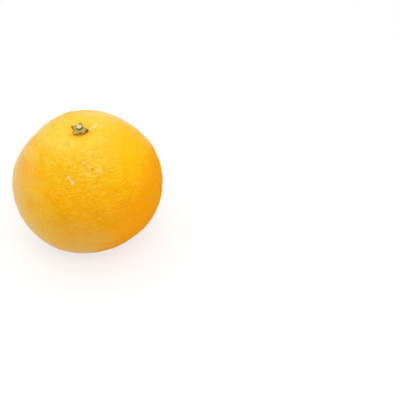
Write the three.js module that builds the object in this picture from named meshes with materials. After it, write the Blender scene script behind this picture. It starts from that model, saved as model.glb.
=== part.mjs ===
// A whole navel orange, standing on its blossom end with the stem end up.
//
// Three pieces make it: the fruit itself, one solid closed all over by its own skin; the calyx,
// the five-lobed star that stays on the fruit when it is picked; and the stub of the stem that
// was clipped just above the calyx.
//
// Units are millimetres and +Z is up. The origin is on the surface the orange stands on, under
// the middle of its outline.
//
// Every surface is laid out in polar form about the fruit's own axis, the line from its blossom
// end to its stem end: "polar" is the angle from the stem end (0 there, 180 degrees at the
// blossom end), "azimuth" is the angle round the axis from +X towards +Y, and "lift" is the
// height above the skin. The axis itself leans a few degrees from upright.
import * as THREE from 'three';

// ---------- driving dimensions ----------
const EQUATOR_RADIUS = 40;         // half the width of the fruit at its widest
const STEM_HALF_HEIGHT = 37;       // from the widest level to the stem end, before its hollow
const BLOSSOM_HALF_HEIGHT = 35.3;  // from the widest level to the blossom end, before its navel
const SQUARENESS = 2.15;           // 2 makes an ellipse; more makes fuller shoulders
const LEAN = 4.2;                  // degrees that the stem end leans from upright
const LEAN_AZIMUTH = 210;          // the side that it leans to, in degrees
const REST_CUT = 1.25;             // depth of the flat spot that the fruit has settled on

const HOLLOW_DEPTH = 1.5;          // the hollow that the calyx sits in
const HOLLOW_SPREAD = 8;           // degrees

const NAVEL_DEPTH = 3.2;           // the dent at the blossom end
const NAVEL_SPREAD = 6;            // degrees
const NAVEL_BUTTON = 2.2;          // the small knob that fills the middle of the dent
const NAVEL_BUTTON_SPREAD = 2.6;   // degrees

// Swellings (+) and flats (-): the direction each one faces, as an azimuth and as a latitude
// above the widest level; how far it spreads, in degrees; and its height in millimetres.
const SWELLINGS = [
  { azimuth: 36, latitude: 33, spread: 20, height: -1.3 },
  { azimuth: 100, latitude: 55, spread: 6, height: 0.35 },
  { azimuth: 147, latitude: 36, spread: 11, height: -1.2 },
  { azimuth: 160, latitude: 50, spread: 6, height: 0.25 },
  { azimuth: 180, latitude: 4, spread: 16, height: 0.9 },
  { azimuth: 176, latitude: 46, spread: 8, height: 0.4 },
  { azimuth: 200, latitude: -15, spread: 14, height: 0.45 },
  { azimuth: 226, latitude: -39, spread: 14, height: 0.75 },
  { azimuth: 309, latitude: -44, spread: 16, height: -0.6 },
];

const CALYX_DISC_RADIUS = 3.1;     // out to the notches between the lobes
const CALYX_BOSS_RADIUS = 2.75;    // the thick round middle
const CALYX_BOSS_THICKNESS = 0.7;
const CALYX_LOBE_THICKNESS = 0.35;

// The five lobes, and the folded flank of the last one: where each points and half its width, in
// degrees round the stem; how pointed it is, where 1 has straight sides and less is rounder; how
// far its tip reaches from the stem; and how far the tip curls up off the skin.
const CALYX_LOBES = [
  { azimuth: 81, halfWidth: 31, pointed: 1.3, reach: 5.0, curl: 0.5 },
  { azimuth: 144, halfWidth: 32, pointed: 1.1, reach: 5.1, curl: 0.35 },
  { azimuth: 226, halfWidth: 42, pointed: 0.6, reach: 4.95, curl: 0 },
  { azimuth: 275, halfWidth: 34, pointed: 0.7, reach: 4.75, curl: 0 },
  { azimuth: 302, halfWidth: 30, pointed: 0.6, reach: 4.9, curl: 0 },
  { azimuth: 327, halfWidth: 34, pointed: 1.05, reach: 5.7, curl: 0.1 },
];

const STUB_FOOT_RADIUS = 1.95;     // it widens where it joins the calyx
const STUB_RADIUS = 1.68;
const STUB_HEIGHT = 0.95;
const STUB_SLANT = 12;             // degrees that the cut end is out of square
const STUB_SLANT_AZIMUTH = 270;    // its low side

const SEAT_GAP = 0.3;              // clearance between neighbouring pieces

const FRUIT_SEGMENTS = 72;
const FRUIT_RINGS = 42;
const RING_CROWDING = 0.2;         // how much closer the rings lie near both ends of the fruit
const CALYX_SEGMENTS = 60;
const CALYX_RINGS = 14;
const STUB_SEGMENTS = 24;

const FRUIT_COLOUR = 0xf5ab1c;
const CALYX_COLOUR = 0x9a8347;
const STUB_COLOUR = 0xb9c091;

// ---------- directions ----------
const radians = THREE.MathUtils.degToRad;
const smoothstep = THREE.MathUtils.smoothstep;

function direction(polar, azimuth) {
  const across = Math.sin(polar);
  return new THREE.Vector3(across * Math.cos(azimuth), across * Math.sin(azimuth), Math.cos(polar));
}

// The signed angle from one azimuth to another, between -180 and 180 degrees.
function turn(from, to) {
  return THREE.MathUtils.euclideanModulo(to - from + Math.PI, 2 * Math.PI) - Math.PI;
}

const leanAxis = direction(Math.PI / 2, radians(LEAN_AZIMUTH + 90));
const leaning = new THREE.Matrix4().makeRotationAxis(leanAxis, radians(LEAN));

// ---------- the skin ----------
const swellings = SWELLINGS.map(({ azimuth, latitude, spread, height }) => {
  return { facing: direction(radians(90 - latitude), radians(azimuth)), spread: radians(spread), height };
});

// Distance of the skin from the middle of the fruit in one direction: a squarish ellipse turned
// round the axis, plus the swellings, less the hollow at the stem and the navel's ring.
function skinRadius(polar, azimuth) {
  const halfHeight = Math.cos(polar) > 0 ? STEM_HALF_HEIGHT : BLOSSOM_HALF_HEIGHT;
  const across = Math.abs(Math.sin(polar)) / EQUATOR_RADIUS;
  const along = Math.abs(Math.cos(polar)) / halfHeight;
  let radius = (across ** SQUARENESS + along ** SQUARENESS) ** (-1 / SQUARENESS);

  const facing = direction(polar, azimuth);
  for (const swelling of swellings) {
    const away = facing.angleTo(swelling.facing) / swelling.spread;
    radius += swelling.height * Math.exp(-0.5 * away ** 2);
  }

  const fromNavel = Math.PI - polar;
  radius -= HOLLOW_DEPTH * Math.exp(-((polar / radians(HOLLOW_SPREAD)) ** 2));
  radius -= NAVEL_DEPTH * Math.exp(-((fromNavel / radians(NAVEL_SPREAD)) ** 2));
  radius += NAVEL_BUTTON * Math.exp(-((fromNavel / radians(NAVEL_BUTTON_SPREAD)) ** 2));
  return radius;
}

// A point above the skin, measured from the middle of the fruit, with the axis leaning.
function overSkin(polar, azimuth, lift) {
  const distance = skinRadius(polar, azimuth) + lift;
  return direction(polar, azimuth).multiplyScalar(distance).applyMatrix4(leaning);
}

// A sphere whose vertices are moved one by one to place(polar, azimuth). The sphere is made with
// its poles on Y, so it is turned first to put them on Z.
function moulded(segments, rings, place) {
  const geometry = new THREE.SphereGeometry(1, segments, rings);
  geometry.rotateX(Math.PI / 2);
  const vertices = geometry.getAttribute('position');
  const vertex = new THREE.Vector3();
  for (let i = 0; i < vertices.count; i++) {
    vertex.fromBufferAttribute(vertices, i);
    const polar = Math.acos(THREE.MathUtils.clamp(vertex.z, -1, 1));
    const azimuth = Math.atan2(vertex.y, vertex.x);
    vertex.copy(place(polar, azimuth));
    vertices.setXYZ(i, vertex.x, vertex.y, vertex.z);
  }
  geometry.computeVertexNormals();
  return geometry;
}

// ---------- the pieces, measured from the middle of the fruit ----------
// What would lie below the surface that the fruit has settled on is pressed flat onto it.
function fruitGeometry() {
  const geometry = moulded(FRUIT_SEGMENTS, FRUIT_RINGS, (polar, azimuth) => {
    return overSkin(polar - RING_CROWDING * Math.sin(2 * polar), azimuth, 0);
  });
  geometry.computeBoundingBox();
  const floor = geometry.boundingBox.min.z + REST_CUT;
  const vertices = geometry.getAttribute('position');
  for (let i = 0; i < vertices.count; i++) {
    vertices.setZ(i, Math.max(vertices.getZ(i), floor));
  }
  geometry.computeVertexNormals();
  return geometry;
}

// How far the calyx reaches from the stem at one azimuth, and how far it curls up there.
function calyxOutline(azimuth) {
  let reach = CALYX_DISC_RADIUS;
  let curl = 0;
  for (const lobe of CALYX_LOBES) {
    const away = Math.abs(turn(radians(lobe.azimuth), azimuth)) / radians(lobe.halfWidth);
    const share = Math.max(0, 1 - away);
    const lobeReach = THREE.MathUtils.lerp(CALYX_DISC_RADIUS, lobe.reach, share ** lobe.pointed);
    if (lobeReach > reach) {
      reach = lobeReach;
      curl = lobe.curl * share;
    }
  }
  return { reach, curl };
}

// The upper half of a moulded sphere becomes the calyx's upper face, the lower half becomes the
// face that lies on the skin, and the ring between them is its rim.
function calyxGeometry() {
  return moulded(CALYX_SEGMENTS, CALYX_RINGS, (polar, azimuth) => {
    const { reach, curl } = calyxOutline(azimuth);
    const fromRim = Math.abs(polar - Math.PI / 2) / (Math.PI / 2);
    const distance = reach * (1 - fromRim);
    const thinning = smoothstep(distance, CALYX_BOSS_RADIUS - 0.4, CALYX_BOSS_RADIUS + 0.4);
    const thickness = THREE.MathUtils.lerp(CALYX_BOSS_THICKNESS, CALYX_LOBE_THICKNESS, thinning);
    const side = fromRim < 1e-6 ? 0.5 : Number(polar < Math.PI / 2);
    const lift = SEAT_GAP + curl * smoothstep(distance, CALYX_BOSS_RADIUS, reach) + side * thickness;
    return overSkin(distance / STEM_HALF_HEIGHT, azimuth, lift);
  });
}

// A short peg turned about the axis, with a flared foot and a cut end a little out of square.
function stubGeometry() {
  const profile = [
    new THREE.Vector2(0, 0),
    new THREE.Vector2(STUB_FOOT_RADIUS, 0),
    new THREE.Vector2(STUB_FOOT_RADIUS, 0.1 * STUB_HEIGHT),
    new THREE.Vector2(STUB_RADIUS, 0.35 * STUB_HEIGHT),
    new THREE.Vector2(STUB_RADIUS, 0.88 * STUB_HEIGHT),
    new THREE.Vector2(0.9 * STUB_RADIUS, STUB_HEIGHT),
    new THREE.Vector2(0, STUB_HEIGHT),
  ];
  const geometry = new THREE.LatheGeometry(profile, STUB_SEGMENTS);
  geometry.rotateX(Math.PI / 2);

  const lowSide = direction(Math.PI / 2, radians(STUB_SLANT_AZIMUTH));
  const slope = Math.tan(radians(STUB_SLANT));
  const vertices = geometry.getAttribute('position');
  const vertex = new THREE.Vector3();
  for (let i = 0; i < vertices.count; i++) {
    vertex.fromBufferAttribute(vertices, i);
    const upness = smoothstep(vertex.z, 0.35 * STUB_HEIGHT, 0.88 * STUB_HEIGHT);
    vertices.setZ(i, vertex.z - upness * slope * vertex.dot(lowSide));
  }
  geometry.computeVertexNormals();

  const seat = skinRadius(0, 0) + SEAT_GAP + CALYX_BOSS_THICKNESS + SEAT_GAP;
  geometry.translate(0, 0, seat);
  geometry.applyMatrix4(leaning);
  return geometry;
}

// ---------- the orange ----------
function piece(name, geometry, color, roughness) {
  const material = new THREE.MeshStandardMaterial({ color, roughness, metalness: 0 });
  const mesh = new THREE.Mesh(geometry, material);
  mesh.name = name;
  return mesh;
}

const orange = new THREE.Group();
const fruit = piece('fruit', fruitGeometry(), FRUIT_COLOUR, 0.42);
orange.add(fruit);
orange.add(piece('calyx', calyxGeometry(), CALYX_COLOUR, 0.75));
orange.add(piece('stem_stub', stubGeometry(), STUB_COLOUR, 0.6));

// It stands on Z = 0, with the middle of its outline over the origin.
fruit.geometry.computeBoundingBox();
const outline = fruit.geometry.boundingBox;
const middle = outline.getCenter(new THREE.Vector3());
orange.position.set(-middle.x, -middle.y, -outline.min.z);

export default orange;
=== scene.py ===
import itertools
import math

import bpy
import numpy as np
from bpy.props import FloatProperty, FloatVectorProperty, IntProperty, PointerProperty
from mathutils import Matrix, Vector


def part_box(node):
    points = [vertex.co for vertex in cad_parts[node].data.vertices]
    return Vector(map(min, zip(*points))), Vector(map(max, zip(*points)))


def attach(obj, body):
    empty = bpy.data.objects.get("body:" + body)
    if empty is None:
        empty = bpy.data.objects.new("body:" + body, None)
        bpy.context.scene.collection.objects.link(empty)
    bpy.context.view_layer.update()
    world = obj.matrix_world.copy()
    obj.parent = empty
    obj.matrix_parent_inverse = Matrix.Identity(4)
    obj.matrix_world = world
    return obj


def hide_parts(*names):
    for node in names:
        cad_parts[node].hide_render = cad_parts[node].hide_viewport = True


bl_info = {
    "name": "Navel Orange",
    "version": (1, 0, 0),
    "blender": (4, 5, 0),
    "location": "View3D > Sidebar > Orange",
    "description": "Makes a whole orange with its peel, calyx and stem stub around the packed frame",
    "category": "Add Mesh",
}

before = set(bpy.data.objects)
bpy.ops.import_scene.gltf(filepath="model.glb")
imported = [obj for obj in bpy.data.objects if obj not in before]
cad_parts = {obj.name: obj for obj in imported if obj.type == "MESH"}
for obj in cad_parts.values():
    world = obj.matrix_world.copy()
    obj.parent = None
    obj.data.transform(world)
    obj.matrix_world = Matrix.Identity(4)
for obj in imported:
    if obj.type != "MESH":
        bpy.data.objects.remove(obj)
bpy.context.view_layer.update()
FRUIT_LOW, FRUIT_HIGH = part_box("fruit")

MM = 0.001

# The swellings (+) and flats (-) of the fruit: azimuth, latitude and spread in degrees, then height.
SWELLINGS = (
    (36, 33, 20, -1.3 * MM),
    (100, 55, 6, 0.35 * MM),
    (147, 36, 11, -1.2 * MM),
    (160, 50, 6, 0.25 * MM),
    (180, 4, 16, 0.9 * MM),
    (176, 46, 8, 0.4 * MM),
    (200, -15, 14, 0.45 * MM),
    (226, -39, 14, 0.75 * MM),
    (309, -44, 16, -0.6 * MM),
)

# The calyx's five lobes, and the folded flank of the last: azimuth and half width in degrees, how
# pointed it is, reach of the tip, how far the tip curls up off the skin, and how much of it has
# dried dark, from 0 to 1.
LOBES = (
    (81, 31, 1.3, 5.0 * MM, 0.5 * MM, 0.65),
    (144, 32, 1.1, 5.1 * MM, 0.35 * MM, 0.65),
    (226, 42, 0.6, 4.95 * MM, 0.0 * MM, 0.15),
    (275, 34, 0.7, 4.75 * MM, 0.0 * MM, 0.3),
    (302, 30, 0.6, 4.9 * MM, 0.0 * MM, 0.5),
    (327, 34, 1.05, 5.7 * MM, 0.1 * MM, 0.95),
)

# Marks on the peel. Each runs along a line from one azimuth and latitude to another, in degrees,
# with the radius that it fades over and its strength.
MARKS = {
    # Dry, corky streaks and dots, and two faint patches of painted highlight.
    "russet_and_highlight": (
        (342.8, 82.5, 350.5, 81.6, 0.4 * MM, 0.7),
        (350.5, 81.6, 354, 79.6, 0.55 * MM, 0.9),
        (354, 79.6, 357.2, 78, 0.6 * MM, 0.9),
        (357.2, 78, 4.8, 77, 0.6 * MM, 1.1),
        (4.8, 77, 12.5, 76.5, 0.6 * MM, 1.2),
        (252.8, 43.5, 253.2, 43, 0.8 * MM, 0.85),
        (253.2, 43, 256.5, 41, 0.4 * MM, 0.7),
        (256.8, 40.9, 258, 40.3, 0.85 * MM, 0.8),
        (269.5, 54.7, 270.2, 54.2, 0.75 * MM, 0.5),
        (273, 53.2, 273.6, 52.4, 0.6 * MM, 0.4),
        (276.8, 49.5, 277.4, 49, 0.6 * MM, 0.4),
        (285.8, 45.5, 287.6, 45.1, 0.6 * MM, 0.5),
        (280, 42.8, 284.5, 43.8, 0.7 * MM, 0.2),
        (313, 25, 313.6, 24.6, 0.6 * MM, 0.2),
        (288.8, 25.5, 289.4, 25.2, 0.6 * MM, 0.1),
        # These two faint, broad ones are a painted highlight.
        (270.5, 47, 274, 46.6, 1.7 * MM, 0.13),
        (284, 47.5, 286, 47.2, 1.3 * MM, 0.1),
        (104, 8, 106, 7, 0.7 * MM, 0.6),
        (106, 7, 109, 4.5, 0.45 * MM, 0.5),
        (62, -8, 64, -12, 0.8 * MM, 0.9),
    ),
    # Dark specks, and an old scratch.
    "speck": (
        (271, 52.9, 271.4, 52.6, 0.5 * MM, 0.8),
        (278.6, 48.7, 279.4, 48.4, 0.55 * MM, 0.8),
        (252.6, 42.2, 253.6, 41.6, 0.5 * MM, 0.4),
        (257.9, 42, 258.9, 41.4, 0.5 * MM, 0.35),
        (211.5, 55.6, 211.6, 55.4, 0.5 * MM, 0.38),
        (211.5, 42.1, 211.6, 41.9, 0.55 * MM, 0.38),
        (345.8, 19.6, 346, 19.4, 0.55 * MM, 0.5),
        (149.8, 65, 142.2, 64.4, 0.7 * MM, 0.2),
        (60, 31, 60.5, 30.6, 0.6 * MM, 0.8),
        (97, -21, 97.5, -21.3, 0.5 * MM, 0.7),
    ),
    # Green left in the skin.
    "green": (
        (264, 81.1, 273, 80.8, 0.95 * MM, 1.2),
        (233, 71.6, 238, 70.8, 1.8 * MM, 0.3),
        (99, 55, 101, 56, 2.0 * MM, 0.35),
        (289, 25.5, 290, 24, 1.6 * MM, 0.15),
        (280, -18, 286, -19.5, 2.0 * MM, 0.2),
    ),
    # Skin that has stayed a paler yellow.
    "lemon": (
        (206, 74, 236, 71, 4.5 * MM, 0.3),
    ),
    # Deeper golden spots.
    "golden": (
        (221, 25.5, 225, 29.5, 2.8 * MM, 0.6),
        (300.3, 23.6, 301.3, 22.4, 1.8 * MM, 0.4),
    ),
    # Painted sheen: a pale band on the shoulders and round the left flank.
    "painted_sheen": (
        (65, 64, 41, 54.5, 5.2 * MM, 0.38),
        (41, 54.5, 28, 43.5, 5.2 * MM, 0.38),
        (117, 47, 139.5, 50, 6 * MM, 0.3),
        (139.5, 50, 151, 45.5, 7 * MM, 0.32),
        (151, 45.5, 168, 35.5, 7.5 * MM, 0.34),
        (168, 35.5, 183, 22.5, 7 * MM, 0.3),
        (183, 22.5, 200, 2, 6 * MM, 0.22),
        (200, 2, 225, -14.5, 6 * MM, 0.26),
    ),
    # A deeper yellow on a patch on one shoulder and on the old scratch, and painted shade in a ring
    # round the calyx, strongest on one side.
    "warm_and_shade": (
        (300, 58.5, 318, 59, 6 * MM, 0.2),
        (149.8, 65, 142.2, 64.4, 1.0 * MM, 0.35),
        (170, 82, 200, 81.5, 1.8 * MM, 0.4),
        (200, 81.5, 230, 81, 2.0 * MM, 0.42),
        (230, 81, 262, 81, 3.2 * MM, 0.9),
        (262, 81, 294, 81, 3.4 * MM, 0.9),
        (294, 81, 324, 81, 3.0 * MM, 0.72),
        (324, 81, 356, 82, 1.5 * MM, 0.2),
        (356, 82, 390, 82, 1.3 * MM, 0.25),
    ),
    # Painted shadow: skin darkened under the edge of the calyx, where its lobes shade the peel.
    "calyx_shadow": (
        (224, 81.8, 234, 82, 0.95 * MM, 0.4),
        (234, 82, 244.5, 82.3, 1.1 * MM, 1.0),
        (244.5, 82.3, 257, 82.5, 1.15 * MM, 1.35),
        (257, 82.5, 270, 82, 1.15 * MM, 1.3),
        (270, 82, 284, 82, 1.15 * MM, 1.3),
        (284, 82, 297, 82.1, 1.15 * MM, 1.4),
        (297, 82.1, 311, 82.1, 1.1 * MM, 1.3),
        (311, 82.1, 322, 82, 0.9 * MM, 0.6),
    ),
}


# ---------- colours and nodes ----------
def linear(code):
    """The linear colour of an sRGB hex code, with alpha 1."""
    channels = [int(code[i:i + 2], 16) / 255 for i in (1, 3, 5)]
    return [c / 12.92 if c <= 0.04045 else ((c + 0.055) / 1.055) ** 2.4 for c in channels] + [1.0]


def add(tree, kind, inputs=(), **settings):
    """Adds one node. inputs pairs a socket's name or number with a value or with the output that
    feeds it; settings are the node's own."""
    node = tree.nodes.new(kind)
    for name, value in settings.items():
        setattr(node, name, value)
    for socket, value in dict(inputs).items():
        if isinstance(value, bpy.types.NodeSocket):
            tree.links.new(value, node.inputs[socket])
        else:
            node.inputs[socket].default_value = value
    return node


# The colour sockets of a Mix node set to RGBA.
MIX_A, MIX_B, MIX_RESULT = 6, 7, 2


def empty_material(name):
    """A material with no nodes yet, and its tree."""
    material = bpy.data.materials.new(name)
    material.use_nodes = True
    material.node_tree.nodes.clear()
    return material, material.node_tree


# ---------- forms ----------
def direction(polar, azimuth):
    """Unit vectors at a polar angle from the stem end and an azimuth round the fruit's axis."""
    x = np.sin(polar) * np.cos(azimuth)
    y = np.sin(polar) * np.sin(azimuth)
    return np.stack(np.broadcast_arrays(x, y, np.cos(polar)), axis=-1)


def bell(away, spread):
    """1 in the middle, falling to 0.61 at one spread and 0.14 at two."""
    return np.exp(-0.5 * (away / spread) ** 2)


def smoothstep(x, low, high):
    """0 below low, 1 above high and an even S between them."""
    share = np.clip((x - low) / (high - low), 0, 1)
    return share * share * (3 - 2 * share)


def mix(a, b, share):
    """a where share is 0, b where it is 1."""
    return a + (b - a) * share


def skin_radius(skin, polar, azimuth):
    """How far the smooth skin is from the fruit's middle. A squarish ellipse turned round the axis,
    ((sin p / a)^n + (|cos p| / h)^n)^(-1/n), plus a bell for each swelling, less e^-(p/s)^2 for the
    hollow at the stem, and less such a dent plus a smaller knob at the navel."""
    half_height = np.where(np.cos(polar) > 0, skin.stem_half_height, skin.blossom_half_height)
    across = np.abs(np.sin(polar)) / skin.equator_radius
    along = np.abs(np.cos(polar)) / half_height
    radius = (across ** skin.squareness + along ** skin.squareness) ** (-1 / skin.squareness)
    facing = direction(polar, azimuth)
    for swelling_azimuth, latitude, spread, height in SWELLINGS:
        middle = direction(math.radians(90 - latitude), math.radians(swelling_azimuth))
        away = np.arccos(np.clip(facing @ middle, -1, 1))
        radius = radius + height * bell(away, math.radians(spread))
    from_navel = math.pi - polar
    radius = radius - skin.hollow_depth * np.exp(-(polar / skin.hollow_spread) ** 2)
    radius = radius - skin.navel_depth * np.exp(-(from_navel / skin.navel_spread) ** 2)
    return radius + skin.button_height * np.exp(-(from_navel / skin.button_spread) ** 2)


def lean(skin):
    """The turn from the fruit's own axis to the way it stands, as a 3 by 3 array."""
    axis = Vector((-math.sin(skin.lean_azimuth), math.cos(skin.lean_azimuth), 0))
    return np.array(Matrix.Rotation(skin.lean, 3, axis))


def middle_of_fruit(skin):
    """Where the fruit's middle is in the frame: its outline is centred on the CAD fruit's, and its
    lowest point would be one settling depth below the surface that it stands on."""
    polar = np.linspace(0, math.pi, 181)[:, None]
    azimuth = np.radians(np.arange(360))[None, :]
    points = over_skin(skin, polar, azimuth, 0, np.zeros(3)).reshape(-1, 3)
    low, high = points.min(0), points.max(0)
    middle = (np.array(FRUIT_LOW) + np.array(FRUIT_HIGH) - low - high) / 2
    middle[2] = FRUIT_LOW[2] - low[2] - skin.settling
    return middle


def over_skin(skin, polar, azimuth, lift, middle):
    """Points at a height above the smooth skin, where the leaning fruit's middle is at middle."""
    distance = skin_radius(skin, polar, azimuth) + lift
    return direction(polar, azimuth) * distance[..., None] @ lean(skin).T + middle


def closed_surface(name, grid):
    """A mesh object from a grid of points, rows by columns. The columns run round and meet, with
    azimuth growing, and the rows run from one pole to the other, so that faces point outwards; the
    first and the last row are a single point each."""
    rows, columns = grid.shape[:2]
    points = np.concatenate([grid[:1, 0], grid[1:-1].reshape(-1, 3), grid[-1:, 0]])
    here = np.arange(columns)
    after = (here + 1) % columns
    start = 1 + columns * np.arange(rows - 3)[:, None]
    below = start + columns
    sides = np.stack([start + here, below + here, below + after, start + after], axis=-1)
    first_pole = np.zeros(columns, int)
    last_pole = first_pole + len(points) - 1
    last_row = last_pole - columns
    top = np.stack([first_pole, 1 + here, 1 + after], axis=-1)
    foot = np.stack([last_pole, last_row + after, last_row + here], axis=-1)
    faces = sides.reshape(-1, 4).tolist() + top.tolist() + foot.tolist()
    mesh = bpy.data.meshes.new(name)
    mesh.from_pydata(points.tolist(), [], faces)
    mesh.shade_smooth()
    piece = bpy.data.objects.new(name, mesh)
    bpy.context.scene.collection.objects.link(piece)
    return piece


def paint(piece, name, grid):
    """Stores one number for each point of a closed surface's grid as an attribute of its mesh."""
    values = np.concatenate([grid[:1, 0], grid[1:-1].ravel(), grid[-1:, 0]])
    attribute = piece.data.attributes.new(name, "FLOAT", "POINT")
    attribute.data.foreach_set("value", values.astype(np.float32))


# Large primes that mix a cell's three whole numbers into the row of a table of random numbers.
CELL_PRIMES = (73856093, 19349663, 83492791)
TABLE_ROWS = 4096


def scatter(cells):
    """Three even random numbers for each cell of space, from a seeded table that its whole-number
    place picks a row of."""
    table = np.random.default_rng(7).random((TABLE_ROWS, 3))
    rows = np.bitwise_xor.reduce(cells.astype(np.int64) * CELL_PRIMES, axis=-1) % TABLE_ROWS
    return table[rows]


def pore_distance(points, spacing):
    """Distance from each point to the nearest pore, in pore spacings. Space is cut into cubes one
    spacing wide, with a pore at a random place in each, and the 27 cubes round a point are tried."""
    scaled = points / spacing
    cell = np.floor(scaled)
    nearest = np.full(points.shape[:-1], np.inf)
    for step in itertools.product((-1, 0, 1), repeat=3):
        pore = cell + step + scatter(cell + step)
        nearest = np.minimum(nearest, np.linalg.norm(scaled - pore, axis=-1))
    return nearest


def ripple(points, wavelength, seed):
    """A smooth random height, mostly between -1 and 1: sixteen plane waves of about one length, in
    random directions, added and divided by the square root of eight."""
    chance = np.random.default_rng(seed)
    towards = chance.normal(size=(16, 3))
    towards /= np.linalg.norm(towards, axis=1, keepdims=True)
    lengths = wavelength * chance.uniform(0.7, 1.4, (16, 1))
    phases = chance.uniform(0, 2 * math.pi, 16)
    return np.cos(points @ (towards * 2 * math.pi / lengths).T + phases).sum(-1) / math.sqrt(8)


def marked(facing, marks, reach):
    """How strongly marks show: each one's strength times e^-(d/r)^2 of the distance d from its
    line, taking the fruit as a ball of radius reach, and the strongest where marks meet."""
    shown = np.zeros(facing.shape[:-1])
    for azimuth_a, latitude_a, azimuth_b, latitude_b, radius, strength in marks:
        a = direction(math.radians(90 - latitude_a), math.radians(azimuth_a))
        b = direction(math.radians(90 - latitude_b), math.radians(azimuth_b))
        along = np.clip((facing - a) @ (b - a) / ((b - a) @ (b - a)), 0, 1)
        away = reach * np.linalg.norm(facing - a - along[..., None] * (b - a), axis=-1)
        shown = np.maximum(shown, strength * np.exp(-(away / radius) ** 2))
    return shown


def angle_between(azimuth, side):
    """The angle from each azimuth to one side, the shorter way round."""
    turn = azimuth - side
    return np.abs(np.arctan2(np.sin(turn), np.cos(turn)))


def texture_strengths(polar, facing):
    """How strong the pebbles and pits are, and how strong the fine speckle is, as shares of full.
    Both are plainest on one shoulder, by a bell of the angle in degrees from there, weaker round
    it, fuller again at the back, and fainter towards the stem."""
    plainest = direction(math.radians(42), math.radians(269))
    away = np.degrees(np.arccos(np.clip(facing @ plainest, -1, 1)))
    at_back = smoothstep(away, 88, 130)
    pebbled = mix(0.14, 0.98, bell(away, 22)) + 0.55 * at_back
    pebbled = pebbled * mix(0.25, 1, smoothstep(polar, 0, math.radians(28)))
    grainy = mix(0.88, 1, np.clip(bell(away, 42) + at_back, 0, 1))
    grainy = grainy * mix(0.5, 1, smoothstep(polar, math.radians(15), math.radians(55)))
    return pebbled, grainy


def creases(skin, polar, azimuth):
    """Heights of the shallow creases that run out from the stem, and of more from the navel: a
    cosine of 9 or 11 times the azimuth, unevenly spaced, times a bell of the angle from its end."""
    round_stem = bell(polar - math.radians(13), math.radians(5))
    round_navel = bell(math.pi - polar - math.radians(8), math.radians(3))
    from_stem = skin.stem_crease * np.cos(9 * azimuth + 2 * np.sin(2 * azimuth)) * round_stem
    from_navel = skin.navel_crease * np.cos(11 * azimuth + np.sin(3 * azimuth)) * round_navel
    return from_stem + from_navel


def lobe_outline(calyx, azimuth):
    """The calyx's reach at each azimuth, how far its edge curls up, how dry it is and where its
    ribs are. A lobe raises the disc's radius to its tip's by (1 - |a| / w)^p of the angle a from
    its middle, the longest lobe wins, and three cosines make the edge ragged."""
    reach = np.full_like(azimuth, calyx.disc_radius)
    curl = np.zeros_like(azimuth)
    dryness = np.zeros_like(azimuth)
    rib = np.zeros_like(azimuth)
    for lobe_azimuth, half_width, pointed, tip_reach, tip_curl, dried in LOBES:
        away = angle_between(azimuth, math.radians(lobe_azimuth)) / math.radians(half_width)
        inside = np.clip(1 - away, 0, 1)
        longer = mix(calyx.disc_radius, tip_reach, inside ** pointed)
        curl = np.where(longer > reach, tip_curl * inside, curl)
        dryness = np.where(longer > reach, dried, dryness)
        reach = np.maximum(reach, longer)
        rib = np.maximum(rib, bell(away, 0.14))
    ragged = 0.06 * np.cos(7 * azimuth + 1) + 0.05 * np.cos(17 * azimuth)
    ragged = ragged + 0.04 * np.cos(29 * azimuth + 2)
    return reach + ragged * MM, curl, dryness, rib


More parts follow.
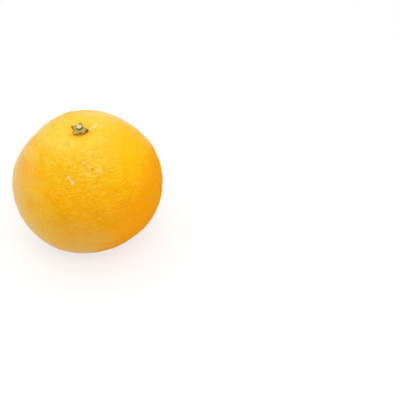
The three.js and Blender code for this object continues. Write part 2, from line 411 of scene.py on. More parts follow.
# ---------- materials ----------
def peel_material(skin):
    """Ripe citrus peel, grown and unpolished: a waxy skin over oil glands. The eye sees a warm
    yellow that deepens towards the blossom end, a tiny deeper-coloured pit at every gland, wavy
    pebbles with painted highlight on their tops and painted shade between them, a faint soft gloss,
    and a few dry corky marks."""
    material, tree = empty_material("citrus_peel")
    place = add(tree, "ShaderNodeTexCoord").outputs["Object"]
    above_floor = add(tree, "ShaderNodeSeparateXYZ", {"Vector": place}).outputs["Z"]

    # Yellow round the stem deepens to orange lower down. Blotches shift the change up and down.
    stem_level, blossom_level = 70 * MM, 14 * MM
    blotches = add(tree, "ShaderNodeTexNoise", {
        "Vector": place, "Scale": 1 / skin.blotch_width, "Detail": 3.0,
    })
    blotch = add(tree, "ShaderNodeMath", {
        0: blotches.outputs["Fac"], 1: 0.5,
    }, operation="SUBTRACT").outputs[0]
    level = add(tree, "ShaderNodeMath", {
        0: blotch, 1: skin.blotch_shift, 2: above_floor,
    }, operation="MULTIPLY_ADD").outputs[0]
    ripeness = add(tree, "ShaderNodeMapRange", {
        "Value": level, "From Min": stem_level, "From Max": blossom_level,
    }).outputs[0]
    ramp = add(tree, "ShaderNodeValToRGB", {"Fac": ripeness})
    stops = ramp.color_ramp.elements
    stops[0].color = (*skin.stem_colour, 1)
    stops[1].color = (*skin.blossom_colour, 1)
    for way, tint in (
        (0.16, skin.shoulder_colour),
        (0.31, skin.middle_colour),
        (0.66, skin.lower_colour),
    ):
        stops.new(way).color = (*tint, 1)
    body = ramp.outputs["Color"]

    # The left cheek is paler, partly in colour and partly as painted sheen along its rim, and
    # higher up it has more painted sheen. Low in front the skin is painted paler, as light from the
    # white floor. The right cheek is painted brighter above, as light from that side, and below it
    # turns a deeper orange, partly riper skin and partly painted shade and warm bounce light. Each
    # tint comes in between two distances from the foot of the fruit, measured towards one side, and
    # the blotches break up its border.
    border_shift = 14 * MM
    for towards, start, full, most, tint in (
        # Partly the pale side's colour, partly painted sheen along its rim.
        ((-0.9, -0.35, -0.3), 13 * MM, 27 * MM, 0.9, skin.pale_and_sheen_colour),
        # Painted sheen.
        ((-0.85, 0.1, 0.15), 22 * MM, 44 * MM, 0.75, skin.sheen_colour),
        # Painted light: brighter above the ripest side, as if lit from there.
        ((0.75, -0.1, 0.35), 30 * MM, 44 * MM, 0.9, skin.lit_side_colour),
        # Painted light: paler low in front, where the white floor lights the skin.
        ((-0.3, -0.75, -0.6), 6 * MM, 14 * MM, 0.4, skin.floor_light_colour),
        # A riper orange, partly painted shade and warm bounce light low on that side.
        ((0.9, -0.35, -0.45), 1 * MM, 17 * MM, 0.9, skin.ripe_and_bounce_colour),
    ):
        distance = add(tree, "ShaderNodeVectorMath", {0: place, 1: towards}, operation="DOT_PRODUCT")
        shifted = add(tree, "ShaderNodeMath", {
            0: blotch, 1: border_shift, 2: distance.outputs["Value"],
        }, operation="MULTIPLY_ADD").outputs[0]
        cheek = add(tree, "ShaderNodeMapRange", {
            "Value": shifted, "From Min": start, "From Max": full, "To Max": most,
        }, interpolation_type="SMOOTHSTEP").outputs[0]
        body = add(tree, "ShaderNodeMix", {
            "Factor": cheek, MIX_A: body, MIX_B: (*tint, 1),
        }, data_type="RGBA").outputs[MIX_RESULT]
    ripe_and_bounce_cheek = cheek

    # The skin between the glands swells into low pebbles, wider than they are tall, with painted
    # highlight on their tops and painted shade in the hollows between them. The noise's fourth
    # coordinate is the way down the skin from the stem end, so that it changes faster down the fruit
    # than round it.
    way_down = add(tree, "ShaderNodeAttribute", attribute_name="way_down").outputs["Fac"]
    pebbled = add(tree, "ShaderNodeAttribute", attribute_name="pebbled").outputs["Fac"]
    fourth = add(tree, "ShaderNodeMath", {
        0: way_down, 1: skin.pebble_height,
    }, operation="DIVIDE").outputs[0]
    first_three = add(tree, "ShaderNodeVectorMath", {
        0: place, "Scale": 1 / skin.pebble_width,
    }, operation="SCALE").outputs[0]
    pebbles = add(tree, "ShaderNodeTexNoise", {
        "Vector": first_three, "W": fourth, "Scale": 1.0, "Detail": 2.0, "Roughness": 0.55,
    }, noise_dimensions="4D").outputs["Fac"]
    # A finer speckle covers the whole skin, fainter towards the stem.
    grainy = add(tree, "ShaderNodeAttribute", attribute_name="grainy").outputs["Fac"]
    grain = add(tree, "ShaderNodeTexNoise", {
        "Vector": place, "Scale": 1 / skin.grain_width, "Detail": 3.0,
    }).outputs["Fac"]
    for pattern, strength, start, full, most, tint in (
        # Painted highlight on the pebbles' tops.
        (pebbles, pebbled, 0.5, 0.7, 0.5, "#FFDC64"),
        # Painted shade in the hollows between them.
        (pebbles, pebbled, 0.5, 0.3, 0.45, "#D08A00"),
        (grain, grainy, 0.5, 0.65, 0.42, "#FFD210"),
        (grain, grainy, 0.5, 0.35, 0.4, "#CC8600"),
    ):
        shown = add(tree, "ShaderNodeMapRange", {
            "Value": pattern, "From Min": start, "From Max": full, "To Max": most,
        }).outputs[0]
        share = add(tree, "ShaderNodeMath", {0: shown, 1: strength}, operation="MULTIPLY").outputs[0]
        body = add(tree, "ShaderNodeMix", {
            "Factor": share, MIX_A: body, MIX_B: linear(tint),
        }, data_type="RGBA").outputs[MIX_RESULT]

    # Oil glands: the pit of each is deeper in colour.
    pore = add(tree, "ShaderNodeAttribute", attribute_name="pore").outputs["Fac"]
    pit = add(tree, "ShaderNodeMath", {0: pore, 1: skin.pit_tint}, operation="MULTIPLY").outputs[0]
    body = add(tree, "ShaderNodeMix", {
        "Factor": pit, MIX_A: body, MIX_B: (*skin.pit_colour, 1),
    }, data_type="RGBA").outputs[MIX_RESULT]

    # Paler yellow and golden patches, painted sheen, a deeper yellow with a ring of painted shade round
    # the calyx, painted shadow under its edge, green left in the skin, corky russet with two patches of
    # painted highlight, and dark specks, each broken up by the speckle.
    speckled = add(tree, "ShaderNodeMapRange", {
        "Value": grain, "From Min": 0.3, "From Max": 0.7, "To Min": 0.55, "To Max": 1.45,
    }).outputs[0]
    shares = {}
    for name, tint, most in (
        ("lemon", "#F0E460", 0.8),
        ("golden", "#ECC204", 0.8),
        # Painted sheen.
        ("painted_sheen", "#F4DC98", 0.8),
        # A deeper yellow, and painted shade round the calyx.
        ("warm_and_shade", "#F8AA00", 0.85),
        # Painted shadow under the calyx's edge.
        ("calyx_shadow", "#A85C00", 0.85),
        ("green", "#A89C00", 0.85),
        # Corky russet, and two patches of painted highlight.
        ("russet_and_highlight", "#F7DCA4", 0.8),
        ("speck", "#A86838", 0.8),
    ):
        strength = add(tree, "ShaderNodeAttribute", attribute_name=name).outputs["Fac"]
        worn = add(tree, "ShaderNodeMath", {
            0: strength, 1: speckled,
        }, operation="MULTIPLY").outputs[0]
        shares[name] = add(tree, "ShaderNodeMath", {
            0: worn, 1: most,
        }, operation="MULTIPLY", use_clamp=True).outputs[0]
        body = add(tree, "ShaderNodeMix", {
            "Factor": shares[name], MIX_A: body, MIX_B: linear(tint),
        }, data_type="RGBA").outputs[MIX_RESULT]

    # Wax is smoother on the swells than in the pits, thinner on the deeper orange cheek, and russet
    # has none.
    roughness = add(tree, "ShaderNodeMapRange", {
        "Value": pore, "To Min": 0.28, "To Max": 0.4,
    }).outputs[0]
    for dull, more in ((shares["russet_and_highlight"], 0.25), (ripe_and_bounce_cheek, 0.55)):
        roughness = add(tree, "ShaderNodeMath", {
            0: dull, 1: more, 2: roughness,
        }, operation="MULTIPLY_ADD").outputs[0]

    # Pores too small for the mesh, and the pebbles' relief over them.
    fine = add(tree, "ShaderNodeTexVoronoi", {
        "Vector": place, "Scale": 1 / skin.fine_pore_spacing, "Smoothness": 0.6,
    }, feature="SMOOTH_F1")
    bump = add(tree, "ShaderNodeBump", {
        "Height": fine.outputs["Distance"], "Strength": 0.5, "Distance": skin.fine_pore_depth,
    })
    bump = add(tree, "ShaderNodeBump", {
        "Height": pebbles, "Strength": pebbled, "Distance": skin.pebble_relief,
        "Normal": bump.outputs["Normal"],
    })

    surface = add(tree, "ShaderNodeBsdfPrincipled", {
        "Base Color": body,
        "Roughness": roughness,
        "Normal": bump.outputs["Normal"],
        "IOR": 1.45,
        "Specular IOR Level": 0.05,
        "Subsurface Weight": 0.15,
        "Subsurface Radius": (1.0, 0.45, 0.12),
        "Subsurface Scale": 1.5 * MM,
    })
    add(tree, "ShaderNodeOutputMaterial", {"Surface": surface.outputs[0]})
    return material


def calyx_material(calyx):
    """Dried sepals: a leathery yellow-green button that has gone tan and then red-brown towards the
    tips. The eye sees a matte, finely ribbed skin with dark curled ends."""
    material, tree = empty_material("dried_sepal")
    place = add(tree, "ShaderNodeTexCoord").outputs["Object"]
    mottle = add(tree, "ShaderNodeTexNoise", {
        "Vector": place, "Scale": 1 / (0.9 * MM), "Detail": 4.0,
    }).outputs["Fac"]
    boss = add(tree, "ShaderNodeAttribute", attribute_name="boss").outputs["Fac"]
    tip = add(tree, "ShaderNodeAttribute", attribute_name="tip").outputs["Fac"]
    rib = add(tree, "ShaderNodeAttribute", attribute_name="rib").outputs["Fac"]
    stain = add(tree, "ShaderNodeAttribute", attribute_name="stain").outputs["Fac"]

    # How dried each place is: its share of the way to a tip, frayed by the mottle. It darkens
    # first to the tips' colour, and then further at their very ends.
    frayed = add(tree, "ShaderNodeMath", {0: mottle, 1: 0.5}, operation="SUBTRACT").outputs[0]
    dried = add(tree, "ShaderNodeMath", {
        0: frayed, 1: 0.5, 2: tip,
    }, operation="MULTIPLY_ADD").outputs[0]
    dark = add(tree, "ShaderNodeMapRange", {
        "Value": dried, "From Min": 0.2, "From Max": 0.65,
    }, interpolation_type="SMOOTHSTEP").outputs[0]
    end = add(tree, "ShaderNodeMapRange", {
        "Value": dried, "From Min": 0.55, "From Max": 0.9, "To Max": 0.8,
    }, interpolation_type="SMOOTHSTEP").outputs[0]

    # Mottled lobes with paler ribs, then the mottled button, the dried tips and one brown stain.
    ribbed = add(tree, "ShaderNodeMath", {0: rib, 1: 0.5}, operation="MULTIPLY").outputs[0]
    button = add(tree, "ShaderNodeMix", {
        "Factor": mottle, MIX_A: (*calyx.boss_colour, 1), MIX_B: linear("#A8983C"),
    }, data_type="RGBA").outputs[MIX_RESULT]
    body = (*calyx.lobe_colour, 1)
    for share, tint in (
        (mottle, linear("#9C7A32")),
        (ribbed, linear("#E2BA78")),
        (boss, button),
        (dark, (*calyx.tip_colour, 1)),
        (end, linear("#4A1C08")),
        (stain, linear("#5E4606")),
    ):
        body = add(tree, "ShaderNodeMix", {
            "Factor": share, MIX_A: body, MIX_B: tint,
        }, data_type="RGBA").outputs[MIX_RESULT]

    bump = add(tree, "ShaderNodeBump", {
        "Height": mottle, "Strength": 0.6, "Distance": 0.15 * MM,
    })
    surface = add(tree, "ShaderNodeBsdfPrincipled", {
        "Base Color": body,
        "Roughness": 0.7,
        "Normal": bump.outputs["Normal"],
        "IOR": 1.45,
        "Specular IOR Level": 0.2,
    })
    add(tree, "ShaderNodeOutputMaterial", {"Surface": surface.outputs[0]})
    return material


def stem_material(stub):
    """Citrus twig, clipped green: olive-brown bark with a pale, moist cut end. The eye sees a dark
    ring round a cream face, greener at one side, with a soft wet highlight."""
    material, tree = empty_material("green_twig")
    place = add(tree, "ShaderNodeTexCoord").outputs["Object"]
    mottle = add(tree, "ShaderNodeTexNoise", {
        "Vector": place, "Scale": 1 / (0.8 * MM), "Detail": 3.0,
    }).outputs["Fac"]
    cut = add(tree, "ShaderNodeAttribute", attribute_name="cut").outputs["Fac"]
    foot = add(tree, "ShaderNodeAttribute", attribute_name="foot").outputs["Fac"]
    dark_and_shaded = add(tree, "ShaderNodeAttribute", attribute_name="dark_and_shaded").outputs["Fac"]
    sap = add(tree, "ShaderNodeAttribute", attribute_name="sap").outputs["Fac"]

    # The cut end is greener where sap has gathered, in mottles. The bark is darker on one side, partly
    # in its own colour and partly as painted shade under the cut end's rim, and greener at the foot,
    # and the cut end's colour goes over it last.
    wet = add(tree, "ShaderNodeMath", {
        0: mottle, 1: 0.8, 2: sap,
    }, operation="MULTIPLY_ADD").outputs[0]
    wet = add(tree, "ShaderNodeMapRange", {
        "Value": wet, "From Min": 0.6, "From Max": 1.3,
    }).outputs[0]
    wood = add(tree, "ShaderNodeMix", {
        "Factor": wet, MIX_A: (*stub.cut_colour, 1), MIX_B: linear("#C2CE90"),
    }, data_type="RGBA").outputs[MIX_RESULT]
    body = (*stub.bark_colour, 1)
    # Painted shade, with some darker bark, on one side of the twig.
    for share, tint in ((dark_and_shaded, linear("#4C440A")), (foot, linear("#A9A552")), (cut, wood)):
        body = add(tree, "ShaderNodeMix", {
            "Factor": share, MIX_A: body, MIX_B: tint,
        }, data_type="RGBA").outputs[MIX_RESULT]
    roughness = add(tree, "ShaderNodeMapRange", {"Value": cut, "To Min": 0.6, "To Max": 0.35})

    bump = add(tree, "ShaderNodeBump", {
        "Height": mottle, "Strength": 0.4, "Distance": 0.1 * MM,
    })
    surface = add(tree, "ShaderNodeBsdfPrincipled", {
        "Base Color": body,
        "Roughness": roughness.outputs[0],
        "Normal": bump.outputs["Normal"],
        "IOR": 1.45,
        "Specular IOR Level": 0.25,
    })
    add(tree, "ShaderNodeOutputMaterial", {"Surface": surface.outputs[0]})
    return material


def seen_directly(tree):
    """1 for rays straight from the camera, off gloss or through glass, and 0 for all others."""
    path = add(tree, "ShaderNodeLightPath")
    seen = path.outputs["Is Camera Ray"]
    for ray in ("Is Glossy Ray", "Is Transmission Ray"):
        seen = add(tree, "ShaderNodeMath", {
            0: seen, 1: path.outputs[ray],
        }, operation="MAXIMUM").outputs[0]
    return seen


def floor_material(stage):
    """Matte white studio paper: the eye sees plain white that keeps a soft shadow. Rays that see it
    directly meet it a little whiter than the light that it gives back, and plain white far from the
    fruit, where it meets the backdrop."""
    material, tree = empty_material("studio_paper")
    seen = seen_directly(tree)
    colour_seen = add(tree, "ShaderNodeMix", {
        "Factor": seen, MIX_A: (stage.paper, stage.paper, stage.paper, 1), MIX_B: (1, 1, 1, 1),
    }, data_type="RGBA").outputs[MIX_RESULT]
    paper = add(tree, "ShaderNodeBsdfDiffuse", {"Color": colour_seen})
    white = add(tree, "ShaderNodeEmission", {"Strength": 1.0})
    place = add(tree, "ShaderNodeTexCoord").outputs["Object"]
    away = add(tree, "ShaderNodeVectorMath", {0: place}, operation="LENGTH").outputs["Value"]
    lift = add(tree, "ShaderNodeMapRange", {
        "Value": away, "From Min": 80 * MM, "From Max": 350 * MM,
        "To Min": stage.shadow_lift, "To Max": 1.0,
    }, interpolation_type="SMOOTHSTEP").outputs[0]
    glow = add(tree, "ShaderNodeMath", {0: seen, 1: lift}, operation="MULTIPLY").outputs[0]
    surface = add(tree, "ShaderNodeMixShader", {
        0: glow, 1: paper.outputs[0], 2: white.outputs[0],
    })
    add(tree, "ShaderNodeOutputMaterial", {"Surface": surface.outputs[0]})
    return material


def white_room(stage):
    """A world that looks plain white and lights the fruit evenly from all round."""
    world = bpy.data.worlds.new("white_room")
    world.use_nodes = True
    tree = world.node_tree
    tree.nodes.clear()
    strength = add(tree, "ShaderNodeMapRange", {
        "Value": seen_directly(tree), "To Min": stage.surround,
    }).outputs[0]
    background = add(tree, "ShaderNodeBackground", {"Color": (1, 1, 1, 1), "Strength": strength})
    add(tree, "ShaderNodeOutputWorld", {"Surface": background.outputs[0]})
    return world


# ---------- settings ----------
def length(name, description, default):
    """A property in metres."""
    return FloatProperty(
        name=name, description=description, default=default, subtype="DISTANCE", unit="LENGTH",
        precision=5,
    )


def angle(name, description, degrees):
    """A property in degrees."""
    return FloatProperty(
        name=name, description=description, default=math.radians(degrees), subtype="ANGLE",
        unit="ROTATION",
    )


def fraction(name, description, default):
    """A property from 0 to 1."""
    return FloatProperty(
        name=name, description=description, default=default, min=0, max=1, subtype="FACTOR",
    )


def power(name, description, default):
    """A property in watts."""
    return FloatProperty(name=name, description=description, default=default, min=0, unit="POWER")


def colour(name, description, code):
    """A colour property, from its sRGB hex code."""
    return FloatVectorProperty(
        name=name, description=description, default=linear(code)[:3], subtype="COLOR", min=0, max=1,
    )


class SkinSettings(bpy.types.PropertyGroup):
    equator_radius: length("Equator radius", "Half the width of the fruit at its widest", 40 * MM)
    stem_half_height: length("Stem half height", "From the widest level to the stem end", 37 * MM)
    blossom_half_height: length("Blossom half height", "From there to the blossom end", 35.3 * MM)
    squareness: FloatProperty(
        name="Squareness", description="2 makes an ellipse; more makes fuller shoulders",
        default=2.15, min=1.5, max=4,
    )
    lean: angle("Lean", "How far the stem end leans from upright", 4.2)
    lean_azimuth: angle("Lean azimuth", "The side that the stem end leans to", 210)
    settling: length("Settling", "Depth of the flat spot that the fruit has settled on", 1.25 * MM)
    hollow_depth: length("Hollow depth", "Depth of the hollow that the calyx sits in", 1.5 * MM)
    hollow_spread: angle("Hollow spread", "How wide that hollow is", 8)
    navel_depth: length("Navel depth", "Depth of the dent at the blossom end", 3.2 * MM)
    navel_spread: angle("Navel spread", "How wide that dent is", 6)
    button_height: length("Button height", "Height of the knob in the navel", 2.2 * MM)
    button_spread: angle("Button spread", "How wide that knob is", 2.6)
    stem_crease: length("Stem creases", "Height of the creases round the stem", 0.1 * MM)
    navel_crease: length("Navel creases", "Height of the creases round the navel", 0.25 * MM)
    wave_height: length("Wave height", "Height of the skin's slow ripples", 0.07 * MM)
    wave_length: length("Wave length", "Length of the skin's slow ripples", 9 * MM)
    pore_spacing: length("Pore spacing", "Width of the space that holds one oil gland", 1.6 * MM)
    pore_radius: length("Pore radius", "Radius of the pit over an oil gland", 0.6 * MM)
    pore_depth: length("Pore depth", "Depth of the pit over an oil gland", 0.2 * MM)
    fine_pore_spacing: length("Fine pore spacing", "Spacing of the finest pores", 0.8 * MM)
    fine_pore_depth: length("Fine pore depth", "Depth of the finest pores", 0.08 * MM)
    pebble_width: length("Pebble width", "Width of the low pebbles of the skin", 2.6 * MM)
    pebble_height: length("Pebble height", "Their height up the fruit", 0.75 * MM)
    pebble_relief: length("Pebble relief", "How far they stand out", 0.8 * MM)
    grain_width: length("Grain width", "Width of the skin's finest speckle", 0.45 * MM)
    blotch_width: length("Blotch width", "Width of the blotches of riper and paler skin", 10 * MM)
    blotch_shift: length("Blotch shift", "How far they move the skin's colours up or down", 24 * MM)
    columns: IntProperty(name="Columns", description="Grid columns round the fruit", default=440, min=24)
    rows: IntProperty(name="Rows", description="Grid rows from end to end", default=226, min=12)
    stem_colour: colour("Stem end colour", "Peel colour round the stem", "#F0CE46")
    shoulder_colour: colour("Shoulder colour", "Peel colour round the shoulder", "#F2BD14")
    middle_colour: colour("Middle colour", "Peel colour above the widest level", "#F9AD02")
    lower_colour: colour("Lower colour", "Peel colour below the widest level", "#E5A010")
    blossom_colour: colour("Blossom end colour", "Peel colour round the navel", "#F1BC54")
    # Partly a riper colour, partly painted shade and warm bounce light.
    ripe_and_bounce_colour: colour("Ripe colour", "Peel colour of the ripest side", "#FF9C00")
    # Painted light: the side lit more strongly.
    lit_side_colour: colour("Sunny colour", "Peel colour above the ripest side", "#FFC000")
    # Partly the pale side's own colour, partly painted sheen along its rim.
    pale_and_sheen_colour: colour("Pale colour", "Peel colour of the pale side", "#F8C640")
    # Painted sheen.
    sheen_colour: colour("Bloom colour", "Peel colour where the pale side has a bloom", "#FACB7C")
    # Painted light from the white floor.
    floor_light_colour: colour("Dusty colour", "Peel colour low on the front", "#EAAE52")
    pit_colour: colour("Pit colour", "Peel colour over an oil gland", "#F09E00")
    pit_tint: fraction("Pit tint", "How far the peel takes that colour over an oil gland", 0.3)


class CalyxSettings(bpy.types.PropertyGroup):
    disc_radius: length("Disc radius", "Out to the notches between the lobes", 3.1 * MM)
    boss_radius: length("Boss radius", "Radius of the thick round middle", 2.75 * MM)
    boss_height: length("Boss height", "Height of its middle above the skin", 1.2 * MM)
    lobe_thickness: length("Lobe thickness", "Thickness of a lobe", 0.35 * MM)
    sinking: length("Sinking", "How deep the middle is pressed into the skin", 0.12 * MM)
    lip_height: length("Lip height", "Height of the lip round the boss", 0.16 * MM)
    rib_height: length("Rib height", "Height of the rib along a lobe", 0.1 * MM)
    wrinkle_height: length("Wrinkle height", "Height of the wrinkles across the lobes", 0.03 * MM)
    boss_colour: colour("Boss colour", "Colour of the round middle", "#D6C668")
    lobe_colour: colour("Lobe colour", "Colour of the dried lobes", "#D2AA58")
    tip_colour: colour("Tip colour", "Colour of the driest tips", "#803C1C")


class StubSettings(bpy.types.PropertyGroup):
    foot_radius: length("Foot radius", "Radius where it joins the calyx", 1.95 * MM)
    radius: length("Radius", "Radius of the twig", 1.68 * MM)
    height: length("Height", "From the foot to the cut end", 1.2 * MM)
    sinking: length("Sinking", "How deep the foot is sunk in the calyx's boss", 0.15 * MM)
    slant: angle("Slant", "How far the cut end is out of square", 12)
    slant_azimuth: angle("Slant azimuth", "The low side of the cut end", 270)
    bark_colour: colour("Bark colour", "Colour of the side", "#A08848")
    cut_colour: colour("Cut colour", "Colour of the cut end", "#DCCCB0")


class StageSettings(bpy.types.PropertyGroup):
    paper: fraction("Paper", "Share of the light that the floor gives back", 0.75)
    shadow_lift: fraction("Shadow lift", "How much lighter the shadow looks than it is", 0.68)
    surround: FloatProperty(
        name="Surround", description="Strength of the light all round", default=0.8, min=0,
    )
    front_power: power("Front", "Power of the lamp in front", 1.6)
    top_power: power("Top", "Power of the lamp overhead", 1.6)
    elevation: angle("Elevation", "How far the camera looks down on the fruit", 38)
    distance: length("Distance", "From the camera to the middle of the fruit", 517 * MM)
    aside: length("Aside", "How far beside the fruit the camera is aimed", 61 * MM)
    below: length("Below", "How far below the fruit's middle the camera is aimed", 20.3 * MM)
    lens: FloatProperty(name="Lens", description="Focal length", default=85, unit="CAMERA")


# ---------- operators ----------
class OrangeFruit(bpy.types.Operator):
    """Make the fruit's skin: smooth form, slow ripples, a pit at every oil gland, and marks"""
    bl_idname = "orange.fruit"
    bl_label = "Fruit"

    def execute(self, context):
        skin = context.scene.orange_skin
        polar = np.linspace(0, math.pi, skin.rows)[:, None]
        azimuth = np.linspace(0, 2 * math.pi, skin.columns, endpoint=False)[None, :]
        facing = direction(polar, azimuth)
        inner = facing * skin_radius(skin, polar, azimuth)[..., None]

        # What the material reads at each point: how strong the marks, the pits and the patterns
        # are there, with the painted sheen a little uneven, and how far down the skin the point is.
        values = {name: marked(facing, marks, skin.equator_radius) for name, marks in MARKS.items()}
        values["painted_sheen"] = values["painted_sheen"] * (1 + 0.15 * ripple(inner, skin.wave_length, 5))
        from_pore = pore_distance(inner, skin.pore_spacing) * skin.pore_spacing
        values["pore"] = np.exp(-(from_pore / skin.pore_radius) ** 2)
        values["pebbled"], values["grainy"] = texture_strengths(polar, facing)
        values["way_down"] = np.broadcast_to(polar * skin.equator_radius, facing.shape[:-1])

        # Pits, which russet has nearly filled, slow ripples with smaller ones over them, and creases.
        relief = -skin.pore_depth * values["pore"] * values["pebbled"] * (1 - 0.8 * values["russet_and_highlight"])
        relief = relief + skin.wave_height * ripple(inner, skin.wave_length, 3)
        relief = relief + 0.4 * skin.wave_height * ripple(inner, 3.5 * MM, 4)
        relief = relief + creases(skin, polar, azimuth)

        points = over_skin(skin, polar, azimuth, relief, middle_of_fruit(skin))
        points[..., 2] = np.maximum(points[..., 2], FRUIT_LOW[2])
        fruit = closed_surface("orange_fruit", points)
        for name, grid in values.items():
            paint(fruit, name, grid)
        fruit.data.materials.append(peel_material(skin))
        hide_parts("fruit")
        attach(fruit, "root")
        return {"FINISHED"}


class OrangeCalyx(bpy.types.Operator):
    """Make the calyx: a round boss with uneven lobes that dry out and curl at their tips"""
    bl_idname = "orange.calyx"
    bl_label = "Calyx"

    def execute(self, context):
        skin = context.scene.orange_skin
        calyx = context.scene.orange_calyx
        # The rows run from the middle of the upper face out to the rim, and back underneath.
        rows = np.linspace(0, 2, 81)[:, None]
        azimuth = np.linspace(0, 2 * math.pi, 180, endpoint=False)[None, :]
        share = np.where(rows < 1, rows, 2 - rows)
        upper = np.where(rows < 1, 1.0, 0.0)
        reach, curl, dryness, rib = lobe_outline(calyx, azimuth)
        distance = reach * share

        # Off the boss the calyx thins to its lobes, with a lip round the boss, a rib along each
        # lobe and wrinkles across it, and it rounds off to nothing at the rim.
        off_boss = distance - calyx.boss_radius
        thinning = smoothstep(off_boss, -0.5 * MM, 0.3 * MM)
        outward = smoothstep(distance, calyx.boss_radius, reach)
        height = mix(calyx.boss_height, calyx.lobe_thickness, thinning)
        lip = calyx.lip_height * bell(off_boss + 0.35 * MM, 0.2 * MM)
        ridge = calyx.rib_height * rib * thinning * (1 - outward)
        wrinkle = calyx.wrinkle_height * np.cos(40 * azimuth + 3 * np.sin(5 * azimuth)) * thinning
        height = (height + lip + ridge + wrinkle) * np.sqrt(np.clip(1 - share ** 8, 0, 1))
        lift = curl * outward ** 1.5 - calyx.sinking * (1 - outward) + upper * height
        polar = distance / skin.stem_half_height
        points = over_skin(skin, polar, azimuth, lift, middle_of_fruit(skin))
        piece = closed_surface("orange_calyx", points)

        stain_radius, stain_azimuth = 4.0 * MM, math.radians(274)
        beside_stain = angle_between(azimuth, stain_azimuth) * stain_radius
        off_stain = np.hypot(distance - stain_radius, beside_stain)
        for name, grid in (
            ("boss", 1 - thinning),
            ("tip", outward * dryness * mix(0.6, 1, share)),
            ("rib", rib * thinning),
            ("stain", np.minimum(1.1 * bell(off_stain, 0.6 * MM), 1)),
        ):
            paint(piece, name, grid)
        piece.data.materials.append(calyx_material(calyx))
        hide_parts("calyx")
        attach(piece, "root")
        return {"FINISHED"}


class OrangeStub(bpy.types.Operator):
    """Make the clipped stub of the stem"""
    bl_idname = "orange.stub"
    bl_label = "Stem stub"

    def execute(self, context):
        skin = context.scene.orange_skin
        calyx = context.scene.orange_calyx
        stub = context.scene.orange_stub
        # The profile runs from the middle of the cut end out over the bark ring, down the side and
        # in under the foot: radii as shares of the twig's, and heights from the foot up.
        flare = stub.foot_radius / stub.radius
        radii = (0, 0.3, 0.6, 0.78, 0.84, 0.9, 0.96, 1, 1, 1, 1.02, 1.08, flare, flare, 0.6, 0)
        heights = (1, 1, 0.99, 0.985, 1.02, 1.03, 1.01, 0.95, 0.8, 0.6, 0.4, 0.22, 0.06, 0, 0, 0)
        steps = np.linspace(0, len(radii) - 1, 61)
        radius = np.interp(steps, np.arange(len(radii)), radii)[:, None] * stub.radius
        height = np.interp(steps, np.arange(len(radii)), heights)[:, None] * stub.height
        azimuth = np.linspace(0, 2 * math.pi, 96, endpoint=False)[None, :]

        # The bark is uneven round the twig, and the cut slants.
        side = smoothstep(radius, 0.8 * stub.radius, stub.radius)
        radius = radius * (1 + side * (0.02 * np.cos(5 * azimuth + 1) + 0.015 * np.cos(12 * azimuth)))
        x, y = radius * np.cos(azimuth), radius * np.sin(azimuth)
        downhill = x * math.cos(stub.slant_azimuth) + y * math.sin(stub.slant_azimuth)
        upness = smoothstep(height, 0.35 * stub.height, 0.9 * stub.height)
        slanted = height - upness * math.tan(stub.slant) * downhill

        foot_level = skin_radius(skin, np.zeros(1), np.zeros(1))[0] + calyx.boss_height - stub.sinking
        local = np.stack([x, y, foot_level + slanted], axis=-1)
        piece = closed_surface("orange_stem_stub", local @ lean(skin).T + middle_of_fruit(skin))

        sap_side, dark_and_shaded_side = math.radians(295), math.radians(285)
        sapward = x * math.cos(sap_side) + y * math.sin(sap_side)
        inside_bark = 1 - smoothstep(radius, 0.74 * stub.radius, 0.86 * stub.radius)
        for name, grid in (
            ("cut", inside_bark * (height > 0.5 * stub.height)),
            ("sap", smoothstep(sapward / stub.radius, -0.4, 0.6)),
            # One side of the bark darker, partly painted shade.
            ("dark_and_shaded", bell(angle_between(azimuth, dark_and_shaded_side), math.radians(50))),
            ("foot", 1 - smoothstep(height, 0, 0.45 * stub.height)),
        ):
            paint(piece, name, np.broadcast_to(grid, radius.shape))
        piece.data.materials.append(stem_material(stub))
        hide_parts("stem_stub")
        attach(piece, "root")
        return {"FINISHED"}


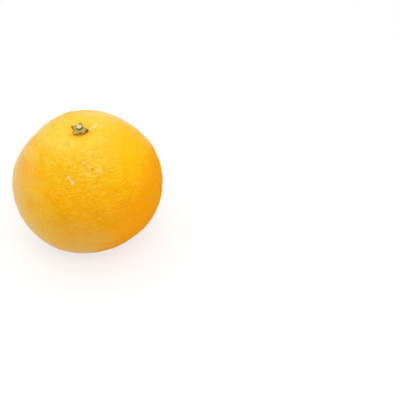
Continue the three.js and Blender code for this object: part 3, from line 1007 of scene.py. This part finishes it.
class OrangeStage(bpy.types.Operator):
    """Make the white floor, the surrounding light, the two lamps and the camera"""
    bl_idname = "orange.stage"
    bl_label = "Stage"

    def execute(self, context):
        scene = context.scene
        stage = scene.orange_stage
        middle = Vector(middle_of_fruit(scene.orange_skin))

        # The floor lies a hair below the fruit's flat spot, so that the two never share a plane.
        half, level = 3.0, FRUIT_LOW[2] - 0.05 * MM
        corners = [(-half, -half, level), (half, -half, level), (half, half, level), (-half, half, level)]
        mesh = bpy.data.meshes.new("floor")
        mesh.from_pydata(corners, [], [(0, 1, 2, 3)])
        mesh.materials.append(floor_material(stage))
        floor = bpy.data.objects.new("floor", mesh)
        scene.collection.objects.link(floor)
        scene.world = white_room(stage)

        # Each lamp's place from the fruit's middle and its width, both in metres, then its power.
        for name, place, width, watts in (
            ("front_lamp", (0.12, -0.46, 0.7), 0.45, stage.front_power),
            ("top_lamp", (-0.08, 0.15, 0.9), 0.7, stage.top_power),
        ):
            lamp_data = bpy.data.lights.new(name, "AREA")
            lamp_data.shape = "DISK"
            lamp_data.size = width
            lamp_data.energy = watts
            lamp = bpy.data.objects.new(name, lamp_data)
            lamp.location = middle + Vector(place)
            lamp.rotation_euler = (-Vector(place)).to_track_quat("-Z", "Y").to_euler()
            scene.collection.objects.link(lamp)

        camera_data = bpy.data.cameras.new("camera")
        camera_data.lens = stage.lens
        camera = bpy.data.objects.new("camera", camera_data)
        back = stage.distance * math.cos(stage.elevation)
        up = stage.distance * math.sin(stage.elevation)
        camera.location = middle + Vector((0, -back, up))
        aim = middle + Vector((stage.aside, 0, -stage.below))
        camera.rotation_euler = (aim - camera.location).to_track_quat("-Z", "Y").to_euler()
        scene.collection.objects.link(camera)
        scene.camera = camera
        scene.view_settings.view_transform = "Standard"
        return {"FINISHED"}


class OrangePanel(bpy.types.Panel):
    """The orange's operators and settings"""
    bl_idname = "VIEW3D_PT_orange"
    bl_label = "Orange"
    bl_space_type = "VIEW_3D"
    bl_region_type = "UI"
    bl_category = "Orange"

    def draw(self, context):
        for operator, group in STEPS:
            box = self.layout.box()
            box.operator(operator.bl_idname)
            settings = getattr(context.scene, group)
            for name in settings.__annotations__:
                box.prop(settings, name)


STEPS = (
    (OrangeFruit, "orange_skin"),
    (OrangeCalyx, "orange_calyx"),
    (OrangeStub, "orange_stub"),
    (OrangeStage, "orange_stage"),
)
GROUPS = {
    "orange_skin": SkinSettings,
    "orange_calyx": CalyxSettings,
    "orange_stub": StubSettings,
    "orange_stage": StageSettings,
}


def register():
    for name, group in GROUPS.items():
        bpy.utils.register_class(group)
        setattr(bpy.types.Scene, name, PointerProperty(type=group))
    for operator, _ in STEPS:
        bpy.utils.register_class(operator)
    bpy.utils.register_class(OrangePanel)


def unregister():
    bpy.utils.unregister_class(OrangePanel)
    for operator, _ in reversed(STEPS):
        bpy.utils.unregister_class(operator)
    for name, group in reversed(GROUPS.items()):
        delattr(bpy.types.Scene, name)
        bpy.utils.unregister_class(group)


def main():
    """Makes everything."""
    register()
    bpy.ops.orange.fruit()
    bpy.ops.orange.calyx()
    bpy.ops.orange.stub()
    bpy.ops.orange.stage()


if __name__ == "__main__":
    main()
